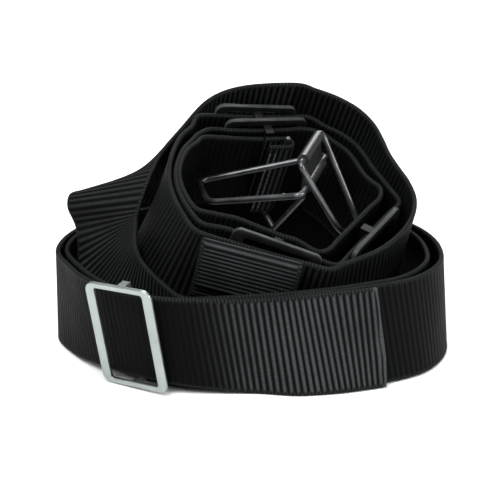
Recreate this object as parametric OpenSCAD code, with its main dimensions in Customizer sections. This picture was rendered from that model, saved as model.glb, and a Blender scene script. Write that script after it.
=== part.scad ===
// Diver's weight belt, rolled up for storage: one long ribbed webbing strap wound in a low
// outer ring and a raised inner coil, with weight keepers on it and a wire buckle inside.
// +Z is up, the ring stands on Z = 0 and the viewer's side is -Y.

/* [Webbing] */
// Width of the webbing
web_w = 50; // [48:0.5:51]
// Thickness of the webbing
web_t = 2.4; // [1.6:0.1:2.6]

/* [Outer ring] */
// Turns of the low ring, counted from the cut end
ring_turns = 2.2; // [2.15:0.01:2.25]
// Radial step from one turn of the ring to the next where they lie close
ring_pitch = 3.4; // [3.2:0.1:3.6]
// Angle of the cut end, seen from above
cut_angle = -43; // [-46:1:-40]
// How far the bright keeper lifts the strap off the floor
keeper_lift = 4.2; // [4.1:0.1:4.6]

/* [Inner coil] */
// Turns of the raised coil
coil_turns = 2.95; // [2.8:0.05:3]
// Lean of the coil's axis towards the viewer
coil_tilt = 26; // [24:1:28]
// Lean of the coil's axis to the right
coil_roll = 12; // [10:1:14]

/* [Steel keeper] */
// Length of the steel keeper along the strap
steel_l = 38; // [37:0.5:40]
// Height of the steel keeper over its end rails
steel_h = 56.4; // [56:0.1:57]
// Width of the steel keeper's two outer bars
steel_bar = 5; // [4:0.5:6]
// Thickness of the steel plate
steel_t = 2; // [1.5:0.1:2.2]

/* [Moulded keepers] */
// Length of a moulded keeper along the strap
keeper_l = 46; // [44:1:46]
// Height of a moulded keeper over its end rails
keeper_h = 58.4; // [58:0.1:60]
// Width of a moulded keeper's two outer bars
keeper_bar = 6; // [5:0.5:7]
// Thickness of a moulded keeper's frame
keeper_t = 2.6; // [2.4:0.1:2.6]
// Clear height of every keeper's window, across the strap
window_h = 50.8; // [50.6:0.1:51.2]
// Width of the crossbar behind the strap
cross_w = 4.5; // [4:0.5:6]

/* [Buckle] */
// Diameter of the buckle's wire
wire_d = 3.2; // [2.8:0.1:3.4]
// Width of the long bail at its hinge, between wire centres
long_bail_w = 52.5; // [52:0.5:54]
// Width of the short bail, which swings inside the long one
short_bail_w = 45; // [44:0.5:45]
// Distance between the two hinge axes
hinge_gap = 15; // [14:1:16]

/* [Hidden] */
fine = 48;

// Ring: radius to the strap's middle every 15 degrees from +X, and how far its top leans out
ring_r = [106, 102.5, 97, 93, 90.5, 88.5, 86, 86, 87, 90, 94.5, 99,
          101.5, 96.5, 93, 90, 85, 77.5, 73, 75, 78.5, 86, 99, 106];
ring_lean = [-3, -1, 0, 0, 0, 0, 0, 0, 0, 0, 0, 0,
             -1, 2, 7, 9, 8, 6, 3, -4, -9, -12, -9, -5];
// How much further apart the ring's turns stand, every 30 degrees
ring_slack = [4, 2.5, 0, 0, 0, 0, 1.2, 2, 0.5, 0, 0, 2];
// Coil: radius every 30 degrees, step per turn, drop per turn and flare of the lower edge
coil_r = [70.5, 61, 68, 69.5, 69, 65, 62.5, 74, 80, 71.5, 71, 71];
coil_step = [8.8, 7.4, 8.5, 9.6, 9.6, 6.5, 4, 4.2, 7.2, 9.6, 9.3, 9.5];
coil_drop = [7, 9, 13, 15, 15, 12, 5, 2, 3, 6, 7, 7];
coil_flare = [0.05, -0.05, -0.15, 0, 0, 0, 0, 0.3, 0.4, 0.25, 0.25, 0.15];
coil_top = [20, 2, 91];
coil_start = 92;
// The strap runs straight through a keeper: where, and how far that cuts into the round
back_angle = 111;
front_angle = -93;
side_angle = -28;
flat_sag = 4;
// The last half turn closes up on the one before it, at this rate per turn
end_room = 6.2;
// Rising stretch between them, as points on the strap's top edge and on its bottom edge
rise_top = [[-42, -57, 52], [-52, -43, 57], [-56, -33, 61], [-57, -25, 64], [-57, -18, 67], [-57, -10, 70],
            [-54, -2, 78], [-50, 14, 86], [-46, 30, 92], [-36, 46, 101], [-22, 60, 113], [-4, 64, 119]];
rise_bottom = [[-42, -57, 2], [-61, -45, 9], [-78, -30, 19], [-84, -17, 25], [-88, -6, 32], [-91, 16, 53],
               [-95, 12, 68], [-92, 20, 72], [-78, 42, 58], [-56, 63, 51.4], [-34, 78, 59], [-12, 84, 72]];

function wrap(list, u) = let (n = len(list), i = floor(u), t = u - i,
    p = [for (k = [-1:2]) list[((i + k) % n + n) % n]]) spline(p, t);
function spline(p, t) = 0.5 * (2 * p[1] + (p[2] - p[0]) * t
    + (2 * p[0] - 5 * p[1] + 4 * p[2] - p[3]) * t * t
    + (3 * p[1] - p[0] - 3 * p[2] + p[3]) * t * t * t);
function unit(v) = v / norm(v);
function bump(x, half) = abs(x) < half ? (1 + cos(180 * x / half)) / 2 : 0;
function turned(a) = a - 360 * floor((a + 180) / 360);

// Everything is moved by this much, to bring the middle of the whole to the origin
centre = [-0.8, -3.6, 0.14];

// One station is the strap's middle, then the way from there to its top edge, in one list of six
steel_angle = -131;
function ring_station(turn) = let (
    a = cut_angle - 360 * turn,
    room = turn > 0.6 ? 3.4 * bump(turned(a - steel_angle), 40) : 0,
    r = wrap(ring_r, a / 15) - (ring_pitch + wrap(ring_slack, a / 30)) * turn - room,
    tip = atan(wrap(ring_lean, a / 15) / web_w),
    rise_z = turn < 0.6 ? keeper_lift * bump(turned(a - steel_angle), 50) : 0)
    [r * cos(a), r * sin(a),
     web_w / 2 * cos(tip) + web_t / 2 * abs(sin(tip)) + rise_z,
     web_w / 2 * cos(a) * sin(tip), web_w / 2 * sin(a) * sin(tip), web_w / 2 * cos(tip)];
coil_z = [sin(coil_roll), -sin(coil_tilt) * cos(coil_roll), cos(coil_tilt) * cos(coil_roll)];
coil_x = unit(cross([0, 1, 0], coil_z));
coil_y = cross(coil_z, coil_x);
function coil_round(a, turn) = wrap(coil_r, a / 30) - wrap(coil_step, a / 30) * turn
    + end_room * max(turn - 2.4, 0);
function coil_out(a) = cos(a) * coil_x + sin(a) * coil_y;
// One list of four: the radius, then the way the top edge points
function coil_shape(a, turn) = concat(coil_round(a, turn), coil_z - wrap(coil_flare, a / 30) * coil_out(a));
// Pulls the strap onto a flat chord near angle a0, straight over a keeper's length
function straightened(shape, a, turn, a0) = let (
    off = turned(a - a0),
    there = coil_shape(a0, turn + off / 360),
    d = there[0] - flat_sag,
    half = atan(26 / d),
    part = abs(off) < half ? 1 : bump(abs(off) - half, 16))
    part == 0 ? shape : shape + part * ([d / cos(off), there[1], there[2], there[3]] - shape);
function coil_station(turn) = let (
    a = coil_start - 360 * turn,
    s0 = coil_shape(a, turn),
    s1 = turn > 0.7 ? straightened(s0, a, turn, back_angle) : s0,
    s2 = straightened(s1, a, turn, front_angle),
    s3 = turn > 1.1 ? straightened(s2, a, turn, side_angle) : s2,
    w = unit([s3[1], s3[2], s3[3]]),
    deep = wrap(coil_drop, a / 30) * min(turn, 1),
    p = coil_top - web_w / 2 * coil_z - deep * w + s3[0] * coil_out(a))
    concat(p, w * web_w / 2);
rise = [for (k = [0:len(rise_top) - 1])
    concat((rise_top[k] + rise_bottom[k]) / 2, (rise_top[k] - rise_bottom[k]) / 2)];
ring_n = 24;
coil_n = 36;
ring_list = [for (k = [0:ceil(ring_turns * ring_n - 0.01)]) ring_station(min(k / ring_n, ring_turns))];
coil_list = [for (k = [0:ceil(coil_turns * coil_n - 0.01)]) coil_station(min(k / coil_n, coil_turns))];
route = concat(ring_list, rise, coil_list);
ring_end = len(ring_list) - 1;
coil_begin = ring_end + 1 + len(rise);
route_end = len(route) - 1;
function station(u) = let (i = min(floor(u), route_end - 1), t = u - i,
    p = [for (k = [-1:2]) i + k < 0 ? 2 * route[0] - route[1]
        : i + k > route_end ? 2 * route[route_end] - route[route_end - 1] : route[i + k]])
    spline(p, t);
function middle(u) = let (s = station(u)) [s[0], s[1], s[2]] + centre;
function along(u) = unit(middle(min(u + 0.02, route_end)) - middle(max(u - 0.02, 0)));
function to_edge(u) = let (s = station(u)) [s[3], s[4], s[5]];
function across(u) = let (w = to_edge(u), t = along(u)) unit(w - (w * t) * t);
function outward(u) = cross(across(u), along(u));

// Strap swept from u0 to u1 along the route, in steps of 1 / n station
steel_u = ring_n * (cut_angle - steel_angle) / 360;
function squeeze(u) = 1 - 0.052 * bump(u - steel_u, 2.2);
module strap(u0, u1, n) {
    m = round((u1 - u0) * n);
    pts = [for (k = [0:m]) let (u = u0 + (u1 - u0) * k / m, c = middle(u), w = to_edge(u) * squeeze(u),
        o = outward(u) * web_t / 2) each [c - w - o, c - w + o, c + w + o, c + w - o]];
    sides = [for (k = [0:m - 1], j = [0:3]) let (a = 4 * k + j, b = 4 * k + (j + 1) % 4)
        [b, a, a + 4, b + 4]];
    polyhedron(points = pts, faces = concat([[0, 1, 2, 3]], sides, [[for (j = [3:-1:0]) 4 * m + j]]),
        convexity = 10);
}
module at_strap(u) {
    c = middle(u);
    t = along(u);
    o = outward(u);
    w = across(u);
    multmatrix([[t[0], o[0], w[0], c[0]], [t[1], o[1], w[1], c[1]], [t[2], o[2], w[2], c[2]]]) children();
}
module webbing_ring_turns() color([0.12, 0.12, 0.13]) strap(0, ring_end, 4);
module webbing_rising_turn() color([0.16, 0.16, 0.17]) strap(ring_end, coil_begin, 5);
module webbing_coil_outer_turn() color([0.1, 0.1, 0.11]) strap(coil_begin, coil_begin + coil_n, 2);
module webbing_coil_inner_turns() color([0.1, 0.1, 0.11]) strap(coil_begin + coil_n, route_end, 2);

// Keepers: a plate with a window, and a crossbar set back behind the strap
gap = 0.9;
cross_t = 2.6;
module rounded_plate(l, h, r) {
    square([l - 2 * r, h], center = true);
    square([l, h - 2 * r], center = true);
    for (sx = [-1, 1], sy = [-1, 1])
        translate([sx * (l / 2 - r), sy * (h / 2 - r)]) circle(r, $fn = fine);
}
module keeper_frame(l, h, bar, t, r) translate([0, web_t / 2 + gap + t, 0]) rotate([90, 0, 0])
    linear_extrude(t) difference() {
        rounded_plate(l, h, r);
        rounded_plate(l - 2 * bar, window_h, 1.5);
    }
cross_foot = 1.2;
module keeper_crossbar() {
    back = web_t / 2 + gap;
    end = window_h / 2 + cross_foot;
    translate([-cross_w / 2, -back - cross_t, -end]) cube([cross_w, cross_t, 2 * end]);
    for (z = [-end, window_h / 2]) translate([-cross_w / 2, -back, z]) cube([cross_w, 2 * back, cross_foot]);
}
steel_tip = 3;
module at_steel() at_strap(steel_u) rotate([0, steel_tip, 0]) children();
module steel_keeper_frame() color([0.8, 0.84, 0.82]) at_steel()
    keeper_frame(steel_l, steel_h, steel_bar, steel_t, 5);
module steel_keeper_crossbar() color([0.7, 0.74, 0.72]) at_steel() keeper_crossbar();
back_u = coil_begin + coil_n * (1 + (coil_start - back_angle) / 360);
inner_u = coil_begin + coil_n * (2 + (coil_start - back_angle + 6) / 360);
front_u = coil_begin + coil_n * (1 + (coil_start - front_angle) / 360);
side_u = coil_begin + coil_n * (1 + (coil_start - side_angle) / 360);
tail_u = coil_begin + coil_n * (coil_start - front_angle + 6) / 360;
module moulded_frame(u) color([0.3, 0.3, 0.32]) at_strap(u)
    keeper_frame(keeper_l, keeper_h, keeper_bar, keeper_t, 4);
module moulded_crossbar(u) color([0.3, 0.3, 0.32]) at_strap(u) keeper_crossbar();
module back_keeper_frame() moulded_frame(back_u);
module back_keeper_crossbar() moulded_crossbar(back_u);
module inner_keeper_frame() moulded_frame(inner_u);
module inner_keeper_crossbar() moulded_crossbar(inner_u);
module front_keeper_frame() moulded_frame(front_u);
module front_keeper_crossbar() moulded_crossbar(front_u);
module side_keeper_frame() moulded_frame(side_u);
module side_keeper_crossbar() moulded_crossbar(side_u);

// Sewn loop at the inner end, bent round a bar of the hinge plate
loop_r = 3.2;
loop_l = 12;
module webbing_end_loop() color([0.12, 0.12, 0.13]) at_strap(route_end)
    translate([0, 0, -web_w / 2]) linear_extrude(web_w) {
        translate([1, -web_t / 2]) square([loop_l - 1, web_t]);
        translate([loop_l, -loop_r]) difference() {
            circle(loop_r + web_t / 2, $fn = fine);
            circle(loop_r - web_t / 2, $fn = fine);
            translate([-2 * loop_r, -2 * loop_r]) square([2 * loop_r, 4 * loop_r]);
        }
        translate([1, -2 * loop_r - web_t / 2]) square([loop_l - 1, web_t]);
    }
module end_stitching() color([0.2, 0.2, 0.21]) at_strap(route_end)
    for (x = [2, 5], z = [-21:3:21])
        translate([x, -2 * loop_r - web_t / 2 - 0.5, z]) cube([0.9, 0.5, 2.2]);

// Folded tail of webbing, hanging down the outside of the coil's front
tail_r = 2;
tail_tip = 4;
tail_yaw = -3;
tail_inner = 30;
tail_outer = 22;
module webbing_folded_tail() color([0.2, 0.2, 0.22]) at_strap(tail_u) rotate([0, tail_tip, tail_yaw])
    translate([1.5, web_t + 3 + tail_r, web_w / 2 - 1]) rotate([90, 0, 90]) translate([0, 0, -web_w / 2])
    linear_extrude(web_w) {
        difference() {
            circle(tail_r + web_t / 2, $fn = fine);
            circle(tail_r - web_t / 2, $fn = fine);
            translate([-2 * tail_r, -4 * tail_r]) square([4 * tail_r, 4 * tail_r]);
        }
        translate([-tail_r - web_t / 2, -tail_inner]) square([web_t, tail_inner]);
        translate([tail_r - web_t / 2, -tail_outer]) square([web_t, tail_outer]);
    }

// Wire buckle: two bails hinged on the rolled edges of a plate
hinge_y = unit([14, 48, 6]);
hinge_z = unit([-0.1, 0, 1] - ([-0.1, 0, 1] * hinge_y) * hinge_y);
hinge_x = cross(hinge_y, hinge_z);
hinge_at = [32, 7, 93.8] + centre;
knuckle_d = 6;
knuckle_l = 32;
pin_play = 0.06;
module at_hinge(s, swing) multmatrix([[hinge_x[0], hinge_y[0], hinge_z[0], hinge_at[0]],
    [hinge_x[1], hinge_y[1], hinge_z[1], hinge_at[1]], [hinge_x[2], hinge_y[2], hinge_z[2], hinge_at[2]]])
    translate([0, 0, s * hinge_gap / 2]) rotate([0, swing, 0]) children();
// A wire bent in its own plane through points, with a radius at each corner. Bending swells a
// corner a little, and each one laps over the straight wire beside it
swell = 0.04;
lap = 0.6;
function heading(p, q) = atan2(q[1] - p[1], q[0] - p[0]);
function corner_turn(p, k) = turned(heading(p[k], p[k + 1]) - heading(p[k - 1], p[k]));
function corner_trim(p, r, k) = k <= 0 || k >= len(p) - 1 ? 0 : r[k] * tan(abs(corner_turn(p, k)) / 2);
module wire(p, r) {
    for (k = [0:len(p) - 2]) {
        a = corner_trim(p, r, k);
        translate(p[k]) rotate([0, 90, heading(p[k], p[k + 1])]) translate([0, 0, a])
            cylinder(d = wire_d, h = norm(p[k + 1] - p[k]) - a - corner_trim(p, r, k + 1), $fn = fine);
    }
    for (k = [1:len(p) - 2]) let (t = corner_turn(p, k), h = heading(p[k - 1], p[k]), s = sign(t),
        c = p[k] - corner_trim(p, r, k) * [cos(h), sin(h), 0] + s * r[k] * [-sin(h), cos(h), 0])
        translate(c) rotate([0, 0, (s > 0 ? h - 90 : h + 90 + t) - lap])
            rotate_extrude(angle = abs(t) + 2 * lap, $fn = 2 * fine)
                translate([r[k], 0]) circle(d = wire_d + swell, $fn = fine);
}
// Bail in its own plane: in from the knuckles, out along both arms and round the nose
module bail(width, far, near) {
    b = width / 2;
    grip = knuckle_l / 2 - 7;
    wire([[0, grip, 0], [0, b, 0], [far[0], far[1], 0], [near[0], near[1], 0], [0, -b, 0], [0, -grip, 0]],
         [0, 3, far[2], near[2], 3, 0]);
}
module hinge_plate() color([0.1, 0.1, 0.1]) {
    at_hinge(0, 0) difference() {
        union() {
            translate([-0.8, -knuckle_l / 2, -hinge_gap / 2]) cube([1.6, knuckle_l, hinge_gap]);
            for (s = [-1, 1]) translate([0, -knuckle_l / 2, s * hinge_gap / 2]) rotate([-90, 0, 0])
                cylinder(d = knuckle_d, h = knuckle_l, $fn = fine);
        }
        for (s = [-1, 1]) translate([0, -knuckle_l / 2 - 1, s * hinge_gap / 2]) rotate([-90, 0, 0])
            cylinder(d = wire_d + 2 * pin_play, h = knuckle_l + 2, $fn = fine);
    }
}
// Wire that ties the plate to the strap: out through the long bail, then up inside the sewn loop
link_d = 3;
function hinge_point(p) = hinge_at + p[0] * hinge_x + p[1] * hinge_y + p[2] * hinge_z;
function end_point(p) = middle(route_end) + p[0] * along(route_end) + p[1] * outward(route_end)
    + p[2] * across(route_end);
module stick(a, b) {
    d = b - a;
    translate(a) rotate([0, acos(d[2] / norm(d)), atan2(d[1], d[0])]) cylinder(d = link_d, h = norm(d), $fn = fine);
}
module strap_link_wire() color([0.35, 0.35, 0.36]) {
    path = [hinge_point([-0.6, 8, 0]), hinge_point([-6, 8, -5]), hinge_point([-10, 9, -24]),
            end_point([loop_l + 3, -loop_r - 12, -30]), end_point([loop_l, -loop_r, -28.5]),
            end_point([loop_l, -loop_r, 27])];
    for (k = [0:len(path) - 2]) stick(path[k], path[k + 1]);
    for (k = [1:len(path) - 1]) translate(path[k]) sphere(d = link_d + swell, $fn = fine);
}
module long_bail_wire() color([0.35, 0.35, 0.36])
    at_hinge(-1, 172.5) bail(long_bail_w, [70, 13.5, 5], [53, -19, 12]);
module short_bail_wire() color([0.35, 0.35, 0.36])
    at_hinge(1, 69.5) bail(short_bail_w, [58, 10, 5], [42, -16, 13]);

webbing_ring_turns();
webbing_rising_turn();
webbing_coil_outer_turn();
webbing_coil_inner_turns();
webbing_end_loop();
webbing_folded_tail();
end_stitching();
steel_keeper_frame();
steel_keeper_crossbar();
back_keeper_frame();
back_keeper_crossbar();
inner_keeper_frame();
inner_keeper_crossbar();
front_keeper_frame();
front_keeper_crossbar();
side_keeper_frame();
side_keeper_crossbar();
hinge_plate();
strap_link_wire();
long_bail_wire();
short_bail_wire();
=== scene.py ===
import math
import bpy
import numpy as np
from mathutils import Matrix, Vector


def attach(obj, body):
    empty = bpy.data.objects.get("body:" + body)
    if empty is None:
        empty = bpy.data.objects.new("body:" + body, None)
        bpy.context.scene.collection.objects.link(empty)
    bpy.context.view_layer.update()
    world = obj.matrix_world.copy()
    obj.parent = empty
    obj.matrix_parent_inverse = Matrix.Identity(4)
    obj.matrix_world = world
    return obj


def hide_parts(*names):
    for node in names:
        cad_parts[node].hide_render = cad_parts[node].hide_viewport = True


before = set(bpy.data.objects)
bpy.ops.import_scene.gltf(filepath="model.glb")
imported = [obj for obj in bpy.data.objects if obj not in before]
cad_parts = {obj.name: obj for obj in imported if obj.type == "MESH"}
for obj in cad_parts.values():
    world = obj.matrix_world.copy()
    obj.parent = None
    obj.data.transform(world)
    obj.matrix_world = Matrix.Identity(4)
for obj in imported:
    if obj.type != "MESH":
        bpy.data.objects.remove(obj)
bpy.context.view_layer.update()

# ---------------------------------------------------------------- Webbing: the low ring
# One long strap of ribbed nylon webbing, woven 50 mm wide and cut hot, which seals its end. It stands
# on its edge, wound clockwise seen from above, from that end. The route of the whole strap is worked
# out here, so that the ring runs on smoothly into the rising stretch and the coil.
mm = 0.001
web_w, web_t = 50.0, 2.4
centre = np.array([-0.8, -3.6, 0.14])
cut_angle, steel_angle, outer_turn = -43.0, -131.0, 0.6
ring_n, ring_turns, ring_pitch = 24, 2.2, 3.4
# Round the ring: radius, how far the top edge leans out, and the extra gap between turns
ring_r = [106, 102.5, 97, 93, 90.5, 88.5, 86, 86, 87, 90, 94.5, 99,
          101.5, 96.5, 93, 90, 85, 77.5, 73, 75, 78.5, 86, 99, 106]
ring_lean = [-3, -1, 0, 0, 0, 0, 0, 0, 0, 0, 0, 0, -1, 2, 7, 9, 8, 6, 3, -4, -9, -12, -9, -5]
ring_slack = [4, 2.5, 0, 0, 0, 0, 1.2, 2, 0.5, 0, 0, 2]
# The steel keeper lifts the outer turn, and the turns inside it make room for its bar
keeper_lift, lift_reach = 4.2, 50
keeper_room, room_reach = 3.4, 40


def spline(p, t):
    """Smooth curve through p[1] and p[2], with p[0] and p[3] giving the way in and out."""
    return 0.5 * (2 * p[1] + (p[2] - p[0]) * t + (2 * p[0] - 5 * p[1] + 4 * p[2] - p[3]) * t * t
                  + (3 * p[1] - p[0] - 3 * p[2] + p[3]) * t * t * t)


def around(table, a):
    """Value at angle a, on the smooth closed curve through entries spread evenly round the circle."""
    table = np.asarray(table, float)
    u = a * len(table) / 360
    i = np.floor(u).astype(int)
    return spline([table[(i + k) % len(table)] for k in (-1, 0, 1, 2)], u - i)


def bump(x, half):
    """One at x = 0, easing down to nothing at plus and minus half along a cosine."""
    return np.where(np.abs(x) < half, (1 + np.cos(np.pi * x / half)) / 2, 0)


def turned(a):
    """The same angle, brought to between -180 and 180 degrees."""
    return a - 360 * np.floor((a + 180) / 360)


def unit(v):
    """Vectors made one long."""
    return v / np.linalg.norm(v, axis=-1, keepdims=True)


def ring_stations(turn):
    """Middle of the strap, and the way to its top edge: a circle whose radius shrinks each turn."""
    a = cut_angle - 360 * turn
    off = turned(a - steel_angle)
    room = np.where(turn > outer_turn, keeper_room * bump(off, room_reach), 0)
    r = around(ring_r, a) - (ring_pitch + around(ring_slack, a)) * turn - room
    tip = np.arctan(around(ring_lean, a) / web_w)
    lift = np.where(turn < outer_turn, keeper_lift * bump(off, lift_reach), 0)
    c, s, half = np.cos(np.radians(a)), np.sin(np.radians(a)), web_w / 2
    return np.stack([r * c, r * s, half * np.cos(tip) + web_t / 2 * np.abs(np.sin(tip)) + lift,
                     half * c * np.sin(tip), half * s * np.sin(tip), half * np.cos(tip)], 1)


# The stretch that climbs out of the ring, by its top and bottom edge
rise_top = np.array([[-42, -57, 52], [-52, -43, 57], [-56, -33, 61], [-57, -25, 64], [-57, -18, 67],
                     [-57, -10, 70], [-54, -2, 78], [-50, 14, 86], [-46, 30, 92], [-36, 46, 101],
                     [-22, 60, 113], [-4, 64, 119]], float)
rise_bottom = np.array([[-42, -57, 2], [-61, -45, 9], [-78, -30, 19], [-84, -17, 25], [-88, -6, 32],
                        [-91, 16, 53], [-95, 12, 68], [-92, 20, 72], [-78, 42, 58], [-56, 63, 51.4],
                        [-34, 78, 59], [-12, 84, 72]], float)

# Round the raised coil: radius, step inwards and drop per turn, and flare of the lower edge
coil_r = [70.5, 61, 68, 69.5, 69, 65, 62.5, 74, 80, 71.5, 71, 71]
coil_step = [8.8, 7.4, 8.5, 9.6, 9.6, 6.5, 4, 4.2, 7.2, 9.6, 9.3, 9.5]
coil_drop = [7, 9, 13, 15, 15, 12, 5, 2, 3, 6, 7, 7]
coil_flare = [0.05, -0.05, -0.15, 0, 0, 0, 0, 0.3, 0.4, 0.25, 0.25, 0.15]
coil_n, coil_turns, coil_start, coil_top = 36, 2.95, 92.0, np.array([20, 2, 91.0])
tilt, roll = math.radians(26), math.radians(12)
coil_z = np.array([math.sin(roll), -math.sin(tilt) * math.cos(roll), math.cos(tilt) * math.cos(roll)])
coil_x = unit(np.cross([0, 1, 0], coil_z))
coil_y = np.cross(coil_z, coil_x)
# Flats under the keepers, each from the turn that has it, and room for the sewn end in the middle
back_angle, front_angle, side_angle = 111.0, -93.0, -28.0
back_from, side_from = 0.7, 1.1
flat_sag, flat_half, flat_ease = 4.0, 26, 16
end_room, end_from = 6.2, 2.4


def coil_out(a):
    """The way out from the coil's axis at angle a."""
    a = np.radians(a)[:, None]
    return np.cos(a) * coil_x + np.sin(a) * coil_y


def coil_shape(a, turn):
    """Radius at angle a, and the way the top edge points: up the axis, less the flare."""
    r = around(coil_r, a) - around(coil_step, a) * turn + end_room * np.maximum(turn - end_from, 0)
    return np.column_stack([r, coil_z - around(coil_flare, a)[:, None] * coil_out(a)])


def straightened(shape, a, turn, a0):
    """The strap pulled onto a flat chord near a0, straight over a keeper and easing back after it."""
    off = turned(a - a0)
    there = coil_shape(a0 + 0 * a, turn + off / 360)
    d = there[:, 0] - flat_sag
    half = np.degrees(np.arctan(flat_half / d))
    part = np.where(np.abs(off) < half, 1, bump(np.abs(off) - half, flat_ease))
    near = np.where(part > 0, off, 0)
    flat = np.column_stack([d / np.cos(np.radians(near)), there[:, 1:]])
    return shape + part[:, None] * (flat - shape)


def coil_stations(turn):
    """The strap's middle on the coil, let down a little further each turn."""
    a = coil_start - 360 * turn
    s = coil_shape(a, turn)
    s = np.where((turn > back_from)[:, None], straightened(s, a, turn, back_angle), s)
    s = straightened(s, a, turn, front_angle)
    s = np.where((turn > side_from)[:, None], straightened(s, a, turn, side_angle), s)
    w = unit(s[:, 1:])
    deep = (around(coil_drop, a) * np.minimum(turn, 1))[:, None]
    return np.hstack([coil_top - web_w / 2 * coil_z - deep * w + s[:, :1] * coil_out(a), w * web_w / 2])


def turns_list(turns, n):
    """Every 1 / n of a turn, with the last place exactly at the end."""
    return np.minimum(np.arange(math.ceil(turns * n - 0.01) + 1) / n, turns)


ring_list = ring_stations(turns_list(ring_turns, ring_n))
rise_list = np.hstack([(rise_top + rise_bottom) / 2, (rise_top - rise_bottom) / 2])
coil_list = coil_stations(turns_list(coil_turns, coil_n))
route = np.vstack([ring_list, rise_list, coil_list])
ring_end, route_end = len(ring_list) - 1, len(route) - 1
coil_begin = ring_end + 1 + len(rise_list)
route_long = np.vstack([2 * route[0] - route[1], route, 2 * route[-1] - route[-2]])


def station(u):
    """Six numbers of the route at a fractional place u: the middle and the way to the top edge."""
    i = np.minimum(np.floor(u).astype(int), route_end - 1)
    return spline([route_long[i + k] for k in range(4)], (u - i)[:, None])


def strap_frame(u):
    """Middle, way along, way outward, half-width vector and way up of the strap at each u."""
    u, near = np.atleast_1d(np.asarray(u, float)), 0.02
    s = station(u)
    t = unit(station(np.minimum(u + near, route_end))[:, :3] - station(np.maximum(u - near, 0))[:, :3])
    w = unit(s[:, 3:] - (s[:, 3:] * t).sum(1)[:, None] * t)
    return s[:, :3] + centre, t, np.cross(w, t), s[:, 3:], w


def even_places(u0, u1, step, fine=6000):
    """Places from u0 to u1 that lie step millimetres apart along the strap, and their distances."""
    u = np.linspace(u0, u1, fine)
    c = strap_frame(u)[0]
    d = np.concatenate([[0], np.cumsum(np.linalg.norm(np.diff(c, axis=0), axis=1))])
    s = np.linspace(0, d[-1], int(d[-1] / step) + 1)
    return np.interp(s, d, u), s


def placed(name, data):
    """New object in the scene, at the origin, that holds a mesh, a lamp or a camera."""
    obj = bpy.data.objects.new(name, data)
    bpy.context.scene.collection.objects.link(obj)
    return obj


def from_grid(name, points, closed=False, caps=False, strap_place=None, rib=None):
    """Mesh from a grid of points in millimetres: rows along the piece, columns round its section."""
    m, n = points.shape[:2]
    rows = np.arange(m if closed else m - 1)[:, None]
    a, b = rows * n + np.arange(n), rows * n + (np.arange(n) + 1) % n
    c, d = (b + n) % (m * n), (a + n) % (m * n)
    faces = np.stack([a, d, c, b], -1).reshape(-1, 4).tolist()
    if caps:
        faces += [list(range(n)), list(range(m * n - 1, (m - 1) * n - 1, -1))]
    mesh = bpy.data.meshes.new(name)
    mesh.from_pydata((points.reshape(-1, 3) * mm).tolist(), [], faces)
    for key, kind, field, values in (("strap_place", "FLOAT_VECTOR", "vector", strap_place),
                                     ("rib", "FLOAT", "value", rib)):
        if values is not None:
            layer = mesh.attributes.new(key, kind, "POINT")
            layer.data.foreach_set(field, values.astype(np.float32).ravel())
    mesh.validate()
    mesh.shade_smooth()
    return placed(name, mesh)


# Section of the strap, going round: share of the half width, and share of the half thickness
edge = [[0.9, 1], [0.955, 1.04], [0.985, 0.9], [1, 0.45],
        [1, -0.45], [0.985, -0.9], [0.955, -1.04], [0.9, -1]]
face = [-0.75, -0.4, 0, 0.4, 0.75]
section = np.array(edge + [[-x, -1] for x in face] + [[-x, -y] for x, y in edge]
                   + [[x, 1] for x in face])
grid_step, rib_pitch, rib_height, rib_mean = 0.5, 3.1, 0.42, 0.6
selvedge_in, selvedge_fade, weft_turn = 0.955, 0.06, 1.7
melt_l, ragged_l = 1.6, 2.5


def webbing(name, c, w, o, s, pitch=rib_pitch, height=rib_height, strength=None, skew=None,
            sealed=False):
    """Ribbed strap: the section carried along c, its faces raised by the root of a cosine wave."""
    v, h = section[:, 0], section[:, 1]
    strength = 1 + 0 * s if strength is None else strength
    place = s[:, None] + 0 * v
    # Ribs wander by up to half a millimetre, as the loom beats them up
    wander = 0.35 * np.sin(place / 23.0) + 0.2 * np.sin(place / 7.3 + 1.1)
    wave = 0.5 + 0.5 * np.cos(2 * np.pi * (place + wander) / pitch)
    rib = np.sqrt(wave) * strength[:, None]
    # The selvedge has no ribs, and is dotted where the weft turns back. Its tone is lifted above the
    # grooves: a painted highlight along both edges.
    flat = np.clip((selvedge_in - np.abs(v)) / selvedge_fade, 0, 1)
    selvedge = (1 - flat) * (0.62 + 0.22 * np.sin(2 * np.pi * place / weft_turn))
    thick = h * web_t / 2 + np.sign(h) * (rib - rib_mean) * height * flat
    t = unit(np.gradient(c, axis=0))
    along = 0 * place if skew is None else skew[:, None] * v * web_w / 2
    if sealed:
        # The hot cut leaves a low bead, a little ragged. Its shine is a painted highlight that lifts the
        # bead's tone.
        melt = np.exp(-(s / melt_l) ** 2)[:, None]
        thick = thick + h * melt * (0.45 + 0.25 * np.sin(9 * v))
        selvedge = selvedge + melt * (0.75 + 0.3 * np.sin(5 * v + 2))
        along = along + (0.5 * np.sin(7 * v + 1) + 0.35 * np.sin(17 * v)) * np.exp(-s / ragged_l)[:, None]
    pts = (c[:, None] + w[:, None] * v[None, :, None] + o[:, None] * thick[:, :, None]
           + t[:, None] * along[:, :, None])
    strap_place = np.stack([place, v * web_w / 2 + 0 * place, h + 0 * place], -1)
    return from_grid(name, pts[:, ::-1], caps=True, strap_place=strap_place[:, ::-1],
                     rib=(rib * flat + selvedge)[:, ::-1])


def srgb(code):
    """Hex colour of the screen turned to the linear values that a shader takes."""
    v = np.array([int(code[i:i + 2], 16) / 255 for i in (1, 3, 5)])
    return (*np.where(v <= 0.04045, v / 12.92, ((v + 0.055) / 1.055) ** 2.4), 1.0)


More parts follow.
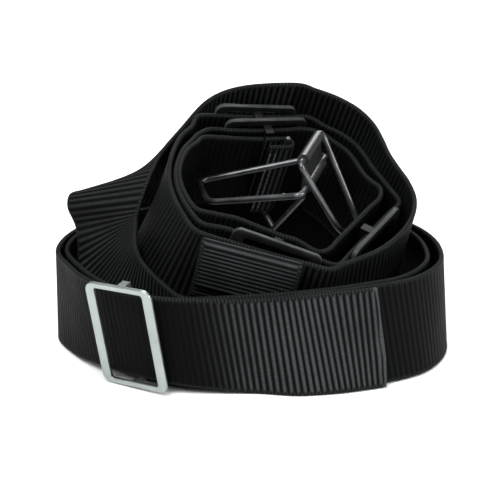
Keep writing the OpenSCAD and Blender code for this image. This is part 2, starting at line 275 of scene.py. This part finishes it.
def add(tree, kind, props=(), **inputs):
    """Adds a node, sets its properties, and links or sets its inputs, by name or by number."""
    n = tree.nodes.new(kind)
    for k, v in dict(props).items():
        setattr(n, k, v)
    for k, v in inputs.items():
        socket = n.inputs[int(k[1:])] if k[1:].isdigit() else n.inputs[k.replace("_", " ")]
        if isinstance(v, bpy.types.NodeSocket):
            tree.links.new(v, socket)
        else:
            socket.default_value = v
    return n


def new_material(name):
    """A material with an empty tree."""
    mat = bpy.data.materials.new(name)
    mat.use_nodes = True
    mat.node_tree.nodes.clear()
    return mat, mat.node_tree


def nylon_webbing():
    """Black woven nylon: ribs of doubled yarn across, fine warp along; the crests are painted lighter as a
    painted highlight, in patches of grey dust, and the grooves painted dark as painted shade.
    """
    mat, tree = new_material("nylon_webbing")
    where = add(tree, "ShaderNodeAttribute", {"attribute_name": "strap_place"}).outputs["Vector"]
    rib = add(tree, "ShaderNodeAttribute", {"attribute_name": "rib"}).outputs["Fac"]
    parts = add(tree, "ShaderNodeSeparateXYZ", Vector=where).outputs
    # Warp yarns run along the strap, crossed by picks. Real ones lie 0.4 mm apart, and these are
    # twice as coarse, so that they show
    warp_mm, pick_mm = 0.9, 0.8
    warp = add(tree, "ShaderNodeMath", {"operation": "MULTIPLY"}, _0=parts[1], _1=2 * math.pi / warp_mm)
    warp = add(tree, "ShaderNodeMath", {"operation": "SINE"}, _0=warp.outputs[0])
    pick = add(tree, "ShaderNodeMath", {"operation": "MULTIPLY"}, _0=parts[0], _1=2 * math.pi / pick_mm)
    pick = add(tree, "ShaderNodeMath", {"operation": "SINE"}, _0=pick.outputs[0])
    weave = add(tree, "ShaderNodeMath", {"operation": "MULTIPLY"}, _0=warp.outputs[0],
                _1=pick.outputs[0])
    # Dust lies in patches 29 mm wide, and single fibres give a grain of 0.6 mm
    dust = add(tree, "ShaderNodeTexNoise", Vector=where, Scale=0.035, Detail=5.0, Roughness=0.6)
    grain = add(tree, "ShaderNodeTexNoise", Vector=where, Scale=1.7, Detail=2.0)
    patchy = add(tree, "ShaderNodeMapRange", Value=dust.outputs["Fac"], From_Min=0.3, From_Max=0.7,
                 To_Min=0.65, To_Max=1.15)
    # Crest tone: painted highlight on the rib crests, scaled by the dust patches, and painted shade in the
    # grooves
    crest = add(tree, "ShaderNodeMath", {"operation": "POWER"}, _0=rib, _1=3.4)
    crest = add(tree, "ShaderNodeMath", {"operation": "MULTIPLY"}, _0=crest.outputs[0],
                _1=patchy.outputs[0])
    body = add(tree, "ShaderNodeMix", {"data_type": "RGBA"}, _0=crest.outputs[0],
               _6=srgb("#040405"), _7=srgb("#3b3f3f"))
    speck = add(tree, "ShaderNodeMapRange", Value=grain.outputs["Fac"], From_Min=0.35, From_Max=0.7,
                To_Min=0.75, To_Max=1.25)
    woven = add(tree, "ShaderNodeMath", {"operation": "MULTIPLY_ADD"}, _0=warp.outputs[0], _1=0.22,
                _2=speck.outputs[0])
    tint = add(tree, "ShaderNodeVectorMath", {"operation": "SCALE"}, _0=body.outputs[2],
               _3=woven.outputs[0])
    rough = add(tree, "ShaderNodeMapRange", Value=dust.outputs["Fac"], To_Min=0.42, To_Max=0.68)
    lift = add(tree, "ShaderNodeMath", {"operation": "ADD"}, _0=weave.outputs[0],
               _1=grain.outputs["Fac"])
    relief = add(tree, "ShaderNodeBump", Strength=0.5, Distance=0.1 * mm, Height=lift.outputs[0])
    shader = add(tree, "ShaderNodeBsdfPrincipled", Base_Color=tint.outputs[0],
                 Roughness=rough.outputs[0], Normal=relief.outputs[0], Specular_IOR_Level=0.04)
    add(tree, "ShaderNodeOutputMaterial", Surface=shader.outputs[0])
    return mat


def finish_piece(obj, mat, body, nodes):
    """Gives a new piece its material and its body, and hides the CAD nodes it stands for."""
    obj.data.materials.append(mat)
    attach(obj, body)
    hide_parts(*nodes)
    return obj


black_webbing = nylon_webbing()
# The strap is drawn in by a twentieth of its width where it runs through the steel keeper
squeeze_at, squeeze, squeeze_reach = ring_n * (cut_angle - steel_angle) / 360, 0.052, 2.2


def strap_piece(name, u0, u1, strength, skew=None, sealed=False):
    """One stretch of the strap, from place u0 to place u1, with its length in metres."""
    u, s = even_places(u0, u1, grid_step)
    c, _, o, half, _ = strap_frame(u)
    half = half * (1 - squeeze * bump(u - squeeze_at, squeeze_reach))[:, None]
    obj = webbing(name, c, half, o, s, strength=strength(u), sealed=sealed,
                  skew=None if skew is None else skew(u))
    return obj, s[-1] * mm


def ring_strength(u):
    """Rib height: full up to place 3.4, pressed to 0.45 from 4.6 on, with a slow wave of 0.12."""
    return 0.45 + 0.55 * np.clip((4.6 - u) / 1.2, 0, 1) + 0.12 * np.sin(u * 0.9)


def ring_skew(u):
    """Lean of the ribs: 0.14 up to place 4, none from 5.5 on, and 0.2 less right at the cut end."""
    return 0.14 * np.clip((5.5 - u) / 1.5, 0, 1) - 0.2 * np.exp(-(u / 0.9) ** 2)


ring, ring_length = strap_piece("ring_webbing", 0, ring_end, ring_strength, ring_skew, sealed=True)
finish_piece(ring, black_webbing, "strap", ["webbing_ring_turns"])

# ---------------------------------------------------------------- Webbing: the rising stretch
# The same nylon strap leaves the ring at the left, leans back over it and climbs to the coil's top.
# Nothing fixes it there but its own stiffness.
rise_strength = 0.8
rising, rising_length = strap_piece("rising_webbing", ring_end, coil_begin, lambda u: rise_strength + 0 * u)
finish_piece(rising, black_webbing, "strap", ["webbing_rising_turn"])

# ---------------------------------------------------------------- Webbing: the raised coil
# The rest of the nylon strap, wound loosely by hand into a tipped coil, with flats where keepers sit
# on it. The inner turns get lower ribs, and with them a darker tone: painted shade for the coil's dark
# inside.
outer_strength, inner_shade_strength = 0.65, 0.5
coil, coil_length = strap_piece("coil_webbing", coil_begin, route_end,
                                lambda u: np.where(u < coil_begin + coil_n, outer_strength, inner_shade_strength))
finish_piece(coil, black_webbing, "strap", ["webbing_coil_outer_turn", "webbing_coil_inner_turns"])

# ---------------------------------------------------------------- Sewn end loop
# The strap's inner end, the same nylon webbing. It is bent back on itself into a small eye round the
# link wire, and sewn down in two rows.
loop_r, loop_l, loop_start = 3.2, 12.0, 1
patch_height = 0.3


def local_frame(u, tip=0.0):
    """Middle and the three directions of the strap at u, turned by tip degrees in its own face."""
    c, t, o, _, w = (x[0] for x in strap_frame(u))
    a = math.radians(tip)
    return c, math.cos(a) * t - math.sin(a) * w, o, math.sin(a) * t + math.cos(a) * w


def polyline(corners, step):
    """Points along straight legs and arcs, given dense corners, spaced evenly by arc length."""
    corners = np.asarray(corners, float)
    d = np.concatenate([[0], np.cumsum(np.linalg.norm(np.diff(corners, axis=0), axis=1))])
    s = np.linspace(0, d[-1], int(d[-1] / step) + 1)
    return np.stack([np.interp(s, d, corners[:, k]) for k in (0, 1)], 1), s


def ribbon_in_plane(name, origin, ex, ey, half, corners, **how):
    """Webbing whose middle line is a flat path in the plane of ex and ey, half a width each way."""
    xy, s = polyline(corners, grid_step)
    c = origin + xy[:, :1] * ex + xy[:, 1:] * ey
    t = unit(np.gradient(c, axis=0))
    w = np.tile(half, (len(c), 1))
    return webbing(name, c, w, np.cross(unit(w), t), s, **how), s[-1] * mm


end_c, end_x, end_y, end_w = local_frame(route_end)
bend = np.radians(np.linspace(90, -90, 25))
eye = ([[loop_start, 0]]
       + [[loop_l + loop_r * math.cos(a), -loop_r + loop_r * math.sin(a)] for a in bend]
       + [[loop_start, -2 * loop_r]])
loop, loop_length = ribbon_in_plane("end_loop_webbing", end_c, end_x, end_y, end_w * web_w / 2, eye,
                                    height=patch_height)
finish_piece(loop, black_webbing, "strap", ["webbing_end_loop"])

# ---------------------------------------------------------------- Stitching of the end
# Two rows of heavy bonded nylon thread, sewn through both layers on a machine. Each stitch is a
# short rounded bead that dips at its ends.
stitch_l, stitch_d, stitch_out = 2.5, 0.9, 0.1
stitch_rows, stitch_places = (2.4, 5.4), np.arange(-20, 21.5, 3)


def bonded_thread():
    """Dark grey bonded thread, two plies twisted, slightly glossy."""
    mat, tree = new_material("bonded_thread")
    place = add(tree, "ShaderNodeTexCoord").outputs["Object"]
    # Twist of 0.6 mm shows as fine slanted bands: at scale 1 a band is a tenth of pi wide
    twist = add(tree, "ShaderNodeTexWave", Vector=place, Scale=520.0, Distortion=1.5)
    colour = add(tree, "ShaderNodeMix", {"data_type": "RGBA"}, _0=twist.outputs["Fac"],
                 _6=srgb("#3a3b3d"), _7=srgb("#6a6c6e"))
    relief = add(tree, "ShaderNodeBump", Strength=0.4, Distance=0.1 * mm, Height=twist.outputs["Fac"])
    shader = add(tree, "ShaderNodeBsdfPrincipled", Base_Color=colour.outputs[2], Roughness=0.5,
                 Normal=relief.outputs[0])
    add(tree, "ShaderNodeOutputMaterial", Surface=shader.outputs[0])
    return mat


def stitches(name, origin, ex, ey, ez, rows=9, ring=8):
    """Beads, one for each row and place: a circle that grows and closes as a power of a sine."""
    a = np.linspace(0, np.pi, rows)[:, None]
    b = np.linspace(0, 2 * np.pi, ring + 1)[None, :-1]
    along = -np.cos(a) * stitch_l / 2 + 0 * b
    side = np.sin(a) ** 0.6 * np.cos(b) * stitch_d / 2
    up = np.sin(a) ** 0.6 * np.sin(b) * stitch_d / 2
    i, j = np.arange(rows - 1)[:, None] * ring, np.arange(ring)
    n = (j + 1) % ring
    bead = np.stack([i + j, i + n, i + ring + n, i + ring + j], -1).reshape(-1, 4)
    verts, faces = [], []
    for k, (x, z) in enumerate([(x, z) for x in stitch_rows for z in stitch_places]):
        p = origin + (x + side)[..., None] * ex + up[..., None] * ey + (z + along)[..., None] * ez
        verts.append(p.reshape(-1, 3))
        faces.append(bead + k * rows * ring)
    mesh = bpy.data.meshes.new(name)
    mesh.from_pydata((np.vstack(verts) * mm).tolist(), [], np.vstack(faces).tolist())
    mesh.validate()
    mesh.shade_smooth()
    return placed(name, mesh)


thread = bonded_thread()
sewing = stitches("end_stitches", end_c - (2 * loop_r + web_t / 2 + stitch_out) * end_y, end_x, -end_y,
                  end_w)
finish_piece(sewing, thread, "strap", ["end_stitching"])

# ---------------------------------------------------------------- Folded tail
# A short tail of the same nylon webbing, folded by hand over the outside of the coil's front, so
# that its ribs run level there.
tail_r, tail_inner, tail_outer, tail_pitch = 2.0, 30.0, 22.0, 2.2
tail_tip, tail_yaw, tail_step = 4.0, math.radians(-3), 6
tail_along, tail_gap, tail_below = 1.5, 3, 1
tail_u = coil_begin + coil_n * (coil_start - front_angle + tail_step) / 360
tail_c, tail_t, tail_out, tail_up = local_frame(tail_u, tail_tip)
tail_x = math.cos(tail_yaw) * tail_t + math.sin(tail_yaw) * tail_out
tail_y = -math.sin(tail_yaw) * tail_t + math.cos(tail_yaw) * tail_out
tail_o = (tail_c + tail_along * tail_x + (web_t + tail_gap + tail_r) * tail_y
          + (web_w / 2 - tail_below) * tail_up)
over = np.radians(np.linspace(180, 0, 25))
fold = ([[-tail_r, -tail_inner]] + [[tail_r * math.cos(a), tail_r * math.sin(a)] for a in over]
        + [[tail_r, -tail_outer]])
tail, tail_length = ribbon_in_plane("folded_tail_webbing", tail_o, tail_y, tail_up, -tail_x * web_w / 2,
                                    fold, pitch=tail_pitch, height=patch_height)
finish_piece(tail, black_webbing, "strap", ["webbing_folded_tail"])

# ---------------------------------------------------------------- Bright steel keeper
# A flat slide stamped from stainless sheet, with a window for the strap and its edges broken by
# tumbling. A plain bar behind the strap keeps it on.
window_h, window_r, keeper_gap = 50.8, 1.5, 0.9
steel_l, steel_h, steel_bar, steel_r, steel_t, steel_tip = 38, 56.4, 5, 5, 2, 3


def bright_steel():
    """Stainless sheet, brushed lengthwise: soft streaks 0.4 mm apart and a cool, even shine."""
    mat, tree = new_material("bright_stainless")
    place = add(tree, "ShaderNodeTexCoord").outputs["Object"]
    streak_l, streak_w, cloud_mm = 3.33, 0.4, 11.1
    stretched = add(tree, "ShaderNodeMapping", Vector=place,
                    Scale=(1000 / streak_l, 1000 / streak_l, 1000 / streak_w))
    streak = add(tree, "ShaderNodeTexNoise", Vector=stretched.outputs[0], Scale=1.0, Detail=3.0)
    cloud = add(tree, "ShaderNodeTexNoise", Vector=place, Scale=1000 / cloud_mm, Detail=4.0)
    colour = add(tree, "ShaderNodeMix", {"data_type": "RGBA"}, _0=cloud.outputs["Fac"],
                 _6=srgb("#8e9693"), _7=srgb("#b3bbb8"))
    rough = add(tree, "ShaderNodeMapRange", Value=streak.outputs["Fac"], To_Min=0.28, To_Max=0.5)
    relief = add(tree, "ShaderNodeBump", Strength=0.2, Distance=0.05 * mm, Height=streak.outputs["Fac"])
    shader = add(tree, "ShaderNodeBsdfPrincipled", Base_Color=colour.outputs[2], Metallic=1.0,
                 Roughness=rough.outputs[0], Normal=relief.outputs[0])
    add(tree, "ShaderNodeOutputMaterial", Surface=shader.outputs[0])
    return mat


def rounded_loop(l, h, r, corner=8, side=10):
    """Points round a rectangle: a quarter circle of radius r at each corner, and straight runs."""
    corners = []
    for k, (sx, sy) in enumerate(((1, 1), (-1, 1), (-1, -1), (1, -1))):
        a = np.radians(np.linspace(0, 90, corner)) + k * np.pi / 2
        corners.append(np.stack([sx * (l / 2 - r) + r * np.cos(a), sy * (h / 2 - r) + r * np.sin(a)], 1))
    q = np.linspace(0, 1, side + 2)[1:-1, None]
    full = []
    for here, after in zip(corners, corners[1:] + corners[:1]):
        full += [here, here[-1] * (1 - q) + after[0] * q]
    return np.vstack(full)


def keeper_frame(name, u, l, h, bar, r, t, profile, tip=0.0):
    """A window frame: a profile carried round between the window's outline and the plate's."""
    inner, outer = rounded_loop(l - 2 * bar, window_h, window_r), rounded_loop(l, h, r)
    way = unit(outer - inner)
    p, e, q = np.array(profile, float).T
    flat = inner[:, None] * (1 - p)[:, None] + outer[:, None] * p[:, None] + way[:, None] * e[:, None]
    c, ex, ey, ez = local_frame(u, tip)
    deep = web_t / 2 + keeper_gap + t / 2 + q
    pts = c + flat[..., :1] * ex + deep[None, :, None] * ey + flat[..., 1:] * ez
    # Only the outer edge, without its grooves, is marked for the paler tone: a painted highlight, which the
    # material makes patchy like rubbing
    crest = np.where((p == 1) & (np.abs(e) < 0.1), 1.0, 0.1)
    obj = from_grid(name, pts, closed=True, rib=np.tile(crest, (len(pts), 1)))
    obj.data.set_sharp_from_angle(angle=math.radians(40))
    return obj


stainless = bright_steel()
# Profile points: 0 at the window to 1 at the outer edge, millimetres past that, millimetres up
steel_profile = [(0, 0, -0.7), (0, 0, 0.7), (0, 0.12, 0.9), (0, 0.35, 1), (1, -0.5, 1), (1, -0.18, 0.9),
                 (1, 0, 0.65), (1, 0, -0.65), (1, -0.18, -0.9), (1, -0.5, -1), (0, 0.35, -1),
                 (0, 0.12, -0.9)]
steel = keeper_frame("steel_keeper", squeeze_at, steel_l, steel_h, steel_bar, steel_r, steel_t,
                     steel_profile, steel_tip)
finish_piece(steel, stainless, "steel_keeper", ["steel_keeper_frame"])

# ---------------------------------------------------------------- Moulded keepers
# Four slides injection-moulded in black nylon and threaded on the coil. Their rails carry two
# grooves along the outer edge, and each has a plain bar behind the strap.
slide_l, slide_h, slide_bar, slide_r, slide_t, inner_step = 46, 58.4, 6, 4, 2.6, 6


def moulded_nylon():
    """Injection-moulded black nylon: a fine spark texture, and high edges painted paler, a painted
    highlight made patchy like rubbing.
    """
    mat, tree = new_material("moulded_nylon")
    place = add(tree, "ShaderNodeTexCoord").outputs["Object"]
    # The real spark grain is finer than 0.2 mm, and is drawn coarser so that it shows
    spark_mm, rub_mm = 0.556, 8.33
    spark = add(tree, "ShaderNodeTexNoise", Vector=place, Scale=1000 / spark_mm, Detail=3.0)
    rub = add(tree, "ShaderNodeTexNoise", Vector=place, Scale=1000 / rub_mm, Detail=4.0)
    high = add(tree, "ShaderNodeAttribute", {"attribute_name": "rib"}).outputs["Fac"]
    # Painted highlight on the outer edge, broken up by the rub noise
    edge_highlight_and_rub = add(tree, "ShaderNodeMath", {"operation": "MULTIPLY"}, _0=high, _1=rub.outputs["Fac"])
    colour = add(tree, "ShaderNodeMix", {"data_type": "RGBA"}, _0=edge_highlight_and_rub.outputs[0],
                 _6=srgb("#08080a"), _7=srgb("#505354"))
    relief = add(tree, "ShaderNodeBump", Strength=0.25, Distance=0.1 * mm, Height=spark.outputs["Fac"])
    rough = add(tree, "ShaderNodeMapRange", Value=rub.outputs["Fac"], To_Min=0.3, To_Max=0.5)
    shader = add(tree, "ShaderNodeBsdfPrincipled", Base_Color=colour.outputs[2],
                 Roughness=rough.outputs[0], Normal=relief.outputs[0], Specular_IOR_Level=0.2)
    add(tree, "ShaderNodeOutputMaterial", Surface=shader.outputs[0])
    return mat


def recoat(key, mat):
    """Gives a CAD solid that stays in view this material."""
    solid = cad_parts[key]
    solid.data.materials.clear()
    solid.data.materials.append(mat)


nylon = moulded_nylon()
ridge = [(1, 0, 1.0), (1, 0, 0.72), (1, -0.45, 0.6), (1, -0.45, 0.46), (1, 0, 0.34)]
slide_profile = ([(0, 0, -0.9), (0, 0, 0.9), (0, 0.2, 1.2), (0, 0.5, 1.3), (1, -0.6, 1.3),
                  (1, -0.2, 1.2)] + ridge + [(p, e, -q) for p, e, q in ridge[::-1]]
                 + [(1, -0.2, -1.2), (1, -0.6, -1.3), (0, 0.5, -1.3), (0, 0.2, -1.2)])
# Where each one sits, in turns of the coil from its start
keeper_turn = {"back": 1 + (coil_start - back_angle) / 360,
               "inner": 2 + (coil_start - back_angle + inner_step) / 360,
               "front": 1 + (coil_start - front_angle) / 360,
               "side": 1 + (coil_start - side_angle) / 360}
for key, turn in keeper_turn.items():
    piece = keeper_frame(key + "_keeper", coil_begin + coil_n * turn, slide_l, slide_h, slide_bar,
                         slide_r, slide_t, slide_profile)
    finish_piece(piece, nylon, key + "_keeper", [key + "_keeper_frame"])
    recoat(key + "_keeper_crossbar", nylon)
recoat("steel_keeper_crossbar", stainless)

# ---------------------------------------------------------------- Wire buckle
# Two bails of bent stainless wire turn in the rolled edges of a small coated steel plate. A third
# wire links the plate to the sewn eye. Their CAD solids have the right shape and stay.


def dark_wire():
    """Drawn stainless wire, darkened in salt water: fine drawing lines and dull grey bloom."""
    mat, tree = new_material("drawn_wire")
    place = add(tree, "ShaderNodeTexCoord").outputs["Object"]
    bloom_mm, line_mm = 7.14, 0.667
    bloom = add(tree, "ShaderNodeTexNoise", Vector=place, Scale=1000 / bloom_mm, Detail=5.0)
    fine = add(tree, "ShaderNodeTexNoise", Vector=place, Scale=1000 / line_mm, Detail=2.0)
    colour = add(tree, "ShaderNodeMix", {"data_type": "RGBA"}, _0=bloom.outputs["Fac"],
                 _6=srgb("#2c2d2f"), _7=srgb("#77797b"))
    rough = add(tree, "ShaderNodeMapRange", Value=bloom.outputs["Fac"], To_Min=0.22, To_Max=0.5)
    relief = add(tree, "ShaderNodeBump", Strength=0.15, Distance=0.05 * mm, Height=fine.outputs["Fac"])
    shader = add(tree, "ShaderNodeBsdfPrincipled", Base_Color=colour.outputs[2], Metallic=0.9,
                 Roughness=rough.outputs[0], Normal=relief.outputs[0])
    add(tree, "ShaderNodeOutputMaterial", Surface=shader.outputs[0])
    return mat


def coated_plate():
    """Steel plate under a black baked coating, with a slight orange peel and rubbed knuckles."""
    mat, tree = new_material("black_coated_plate")
    place = add(tree, "ShaderNodeTexCoord").outputs["Object"]
    peel_mm, rub_mm = 1.43, 6.25
    peel = add(tree, "ShaderNodeTexNoise", Vector=place, Scale=1000 / peel_mm, Detail=2.0)
    rub = add(tree, "ShaderNodeTexNoise", Vector=place, Scale=1000 / rub_mm, Detail=5.0)
    colour = add(tree, "ShaderNodeMix", {"data_type": "RGBA"}, _0=rub.outputs["Fac"],
                 _6=srgb("#0c0c0d"), _7=srgb("#1e1f20"))
    relief = add(tree, "ShaderNodeBump", Strength=0.2, Distance=0.1 * mm, Height=peel.outputs["Fac"])
    shader = add(tree, "ShaderNodeBsdfPrincipled", Base_Color=colour.outputs[2], Roughness=0.35,
                 Normal=relief.outputs[0])
    add(tree, "ShaderNodeOutputMaterial", Surface=shader.outputs[0])
    return mat


wire_look = dark_wire()
for key in ("long_bail_wire", "short_bail_wire", "strap_link_wire"):
    recoat(key, wire_look)
recoat("hinge_plate", coated_plate())

# ---------------------------------------------------------------- Floor, light and camera
# A plain pale sweep of paper under soft studio light: an even light from above, a key light at the
# front left, and fill from the right and from behind.
reach, floor_z = 6.0, -0.3 * mm
world_strength, even_strength, even_spread = 0.32, 2.2, math.radians(60)
camera_place, camera_aim = Vector((-0.0008, -0.7554, 0.32174)), Vector((-0.0008, -0.0036, 0.04814))
focal_length, sensor_width = 111.2, 36

floor_mesh = bpy.data.meshes.new("floor")
floor_mesh.from_pydata([(-reach, -reach, floor_z), (reach, -reach, floor_z), (reach, reach, floor_z),
                        (-reach, reach, floor_z)], [], [(0, 1, 2, 3)])
floor = placed("floor", floor_mesh)
paper, paper_tree = new_material("pale_paper")
paper_shader = add(paper_tree, "ShaderNodeBsdfPrincipled", Base_Color=srgb("#f6f6f6"), Roughness=0.9)
add(paper_tree, "ShaderNodeOutputMaterial", Surface=paper_shader.outputs[0])
floor_mesh.materials.append(paper)

world = bpy.data.worlds.new("studio")
bpy.context.scene.world = world
world.use_nodes = True
world.node_tree.nodes["Background"].inputs["Color"].default_value = (1, 1, 1, 1)
world.node_tree.nodes["Background"].inputs["Strength"].default_value = world_strength


def faced(obj, place, aim):
    """Puts a lamp or a camera at place, turned to face aim."""
    obj.location = place
    obj.rotation_euler = (Vector(aim) - Vector(place)).to_track_quat("-Z", "Y").to_euler()


def soft_light(name, place, aim, size, power):
    """A square area light at place, turned to face aim."""
    lamp = bpy.data.lights.new(name, "AREA")
    lamp.size, lamp.energy = size, power
    faced(placed(name, lamp), place, aim)


soft_light("key_light", place=(-0.5, -0.9, 1.3), aim=(0, 0, 0.05), size=0.7, power=16)
soft_light("side_light", place=(1.1, -0.5, 0.7), aim=(0, 0, 0.05), size=0.5, power=10)
soft_light("back_light", place=(0.2, 0.9, 0.9), aim=(0, 0, 0.08), size=0.6, power=8)
sky = bpy.data.lights.new("even_light", "SUN")
sky.energy, sky.angle = even_strength, even_spread
placed("even_light", sky).rotation_euler = (math.radians(18), math.radians(-8), 0)

camera = placed("camera", bpy.data.cameras.new("camera"))
camera.data.lens, camera.data.sensor_width = focal_length, sensor_width
faced(camera, camera_place, camera_aim)
bpy.context.scene.camera = camera
bpy.context.scene.view_settings.view_transform = "Standard"
